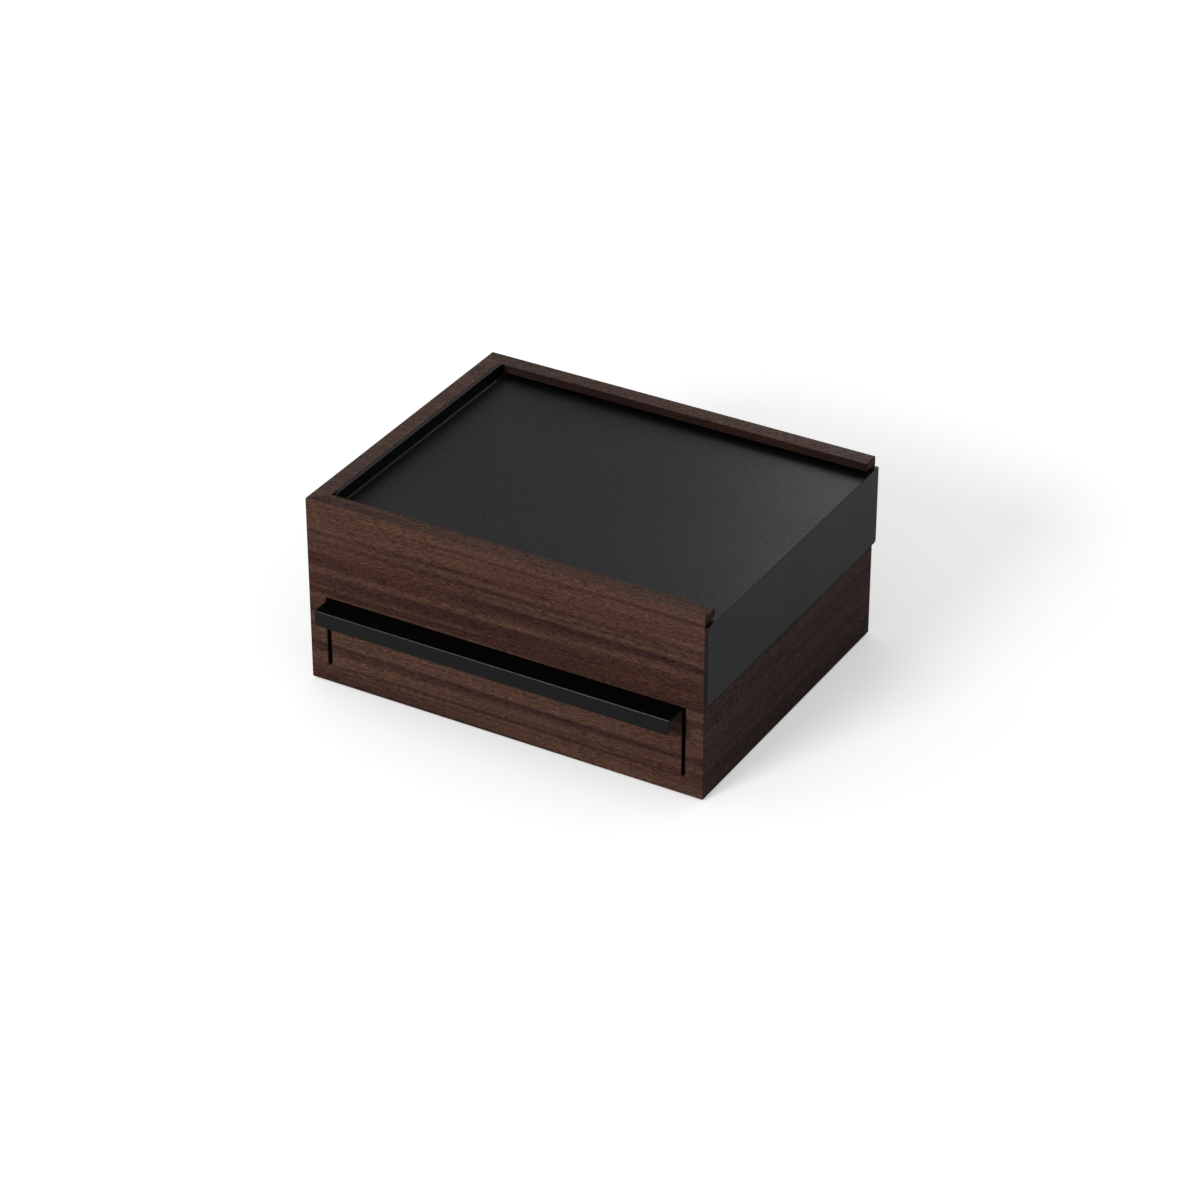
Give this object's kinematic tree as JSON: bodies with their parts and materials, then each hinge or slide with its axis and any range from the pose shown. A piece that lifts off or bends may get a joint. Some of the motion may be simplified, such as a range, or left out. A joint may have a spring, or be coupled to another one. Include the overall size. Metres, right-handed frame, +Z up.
{
  "type": "jewellery box with a drawer",
  "caption": "Walnut jewellery box with a sliding black sheet-metal cover over a divided, lined tray and a lined drawer with a folded metal handle strip.",
  "frame": {"origin": "middle of the footprint, on the table", "axes": "+X along the box towards the cover's turned down end, -Y out of the drawer's front, +Z up"},
  "size_m": [0.2622, 0.2211, 0.1224],
  "materials": {
    "walnut": "satin lacquered walnut veneer",
    "black_metal": "fine matt powder coat",
    "stained_board": "dark stained board",
    "pale_wood": "plain planed wood",
    "linen": "plain woven linen over board and foam",
    "felt": "pressed felt",
    "stop_rubber": "soft pads",
    "screw_steel": "blackened"
  },
  "bodies": {
    "case": {"base_felt": "felt", "base_panel": "stained_board", "front_panel": "walnut", "back_panel": "walnut", "left_panel": "walnut", "right_panel": "walnut", "corner_splines": "pale_wood", "shelf_panel": "stained_board", "tray_floor_lining": "linen", "tray_front_lining": "linen", "tray_back_lining": "linen", "tray_left_lining": "linen", "tray_right_lining": "linen", "tray_long_divider": "linen", "ring_rolls": "linen", "left_drawer_runner": "pale_wood", "right_drawer_runner": "pale_wood", "drawer_stops": "stop_rubber", "tray_cross_divider_1": "linen", "tray_cross_divider_2": "linen"},
    "cover": {"sliding_cover": "black_metal"},
    "drawer": {"drawer_front": "walnut", "drawer_left_side": "stained_board", "drawer_right_side": "stained_board", "drawer_back": "stained_board", "drawer_bottom": "stained_board", "drawer_handle": "black_metal", "drawer_floor_lining": "linen", "drawer_front_lining": "linen", "drawer_back_lining": "linen", "drawer_left_lining": "linen", "drawer_right_lining": "linen", "drawer_long_divider": "linen", "drawer_cross_divider_1": "linen", "drawer_cross_divider_2": "linen", "handle_screws": "screw_steel"}
  },
  "joints": [
    {"name": "cover_slide", "type": "slide", "parent": "case", "child": "cover", "axis": [1, 0, 0], "range_m": [0, 0.2]},
    {"name": "drawer_slide", "type": "slide", "parent": "case", "child": "drawer", "axis": [0, -1, 0], "range_m": [0, 0.15]}
  ]
}
